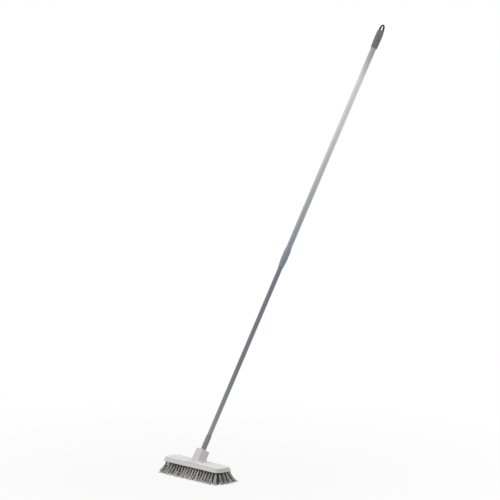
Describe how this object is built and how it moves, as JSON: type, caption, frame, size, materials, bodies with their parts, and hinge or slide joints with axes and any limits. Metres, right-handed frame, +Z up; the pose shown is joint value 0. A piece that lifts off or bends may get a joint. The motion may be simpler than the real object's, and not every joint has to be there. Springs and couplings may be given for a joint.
{
  "type": "telescopic scrub brush",
  "caption": "Long-handled scrub brush: flared bristles under a moulded head with a leaning socket, and a two-part pole with a twist lock and a hanging grip.",
  "frame": {"origin": "on the floor under the middle of the brush head, on the level end of the centre strand of the middle row", "axes": "+Z up from the floor, +X along the head, +Y towards the side that the pole leans to"},
  "size_m": [0.3402, 0.9009, 1.488],
  "materials": {
    "block_plastic": "satin moulded polypropylene, pale warm grey",
    "bristle_dark": "dark grey filament",
    "bristle_light": "pale grey filament",
    "ferrule_plastic": "blue-grey moulded plastic",
    "inner_steel": "grey lacquered thin-wall steel tube",
    "outer_steel": "silver lacquered thin-wall steel tube",
    "lock_plastic": "blue-grey moulded plastic",
    "grip_plastic": "dark grey soft-touch plastic"
  },
  "bodies": {
    "head_and_inner_pole": {"brush_block": "block_plastic", "bristle_row_1": "bristle_light", "bristle_row_2": "bristle_dark", "bristle_row_3": "bristle_light", "bristle_row_4": "bristle_dark", "bristle_row_5": "bristle_light", "bristle_row_6": "bristle_dark", "bristle_row_7": "bristle_light", "bristle_row_8": "bristle_dark", "bristle_row_9": "bristle_light", "threaded_tip": "lock_plastic", "tip_ferrule": "ferrule_plastic", "inner_tube": "inner_steel", "slide_bush": "lock_plastic"},
    "outer_pole": {"outer_tube": "outer_steel", "lock_body": "lock_plastic", "hang_grip": "grip_plastic"},
    "collet": {"lock_collet": "lock_plastic"},
    "nut": {"lock_nut": "lock_plastic"}
  },
  "joints": [
    {"name": "telescope", "type": "slide", "parent": "head_and_inner_pole", "child": "outer_pole", "axis": [0, 0.5045, 0.8634], "range_m": [-0.61, 0]},
    {"name": "collet_release", "type": "slide", "parent": "outer_pole", "child": "collet", "axis": [0, -0.5045, -0.8634], "range_m": [0, 0.0015]},
    {"name": "lock_nut_turn", "type": "hinge", "parent": "collet", "child": "nut", "pos_m": [0, 0.39299, 0.72018], "axis": [0, -0.5045, -0.8634], "range_deg": [0, 180]}
  ],
  "couplings": [
    {"joint": "collet_release", "follows": "lock_nut_turn", "m_per_rad": 0.00047746}
  ]
}
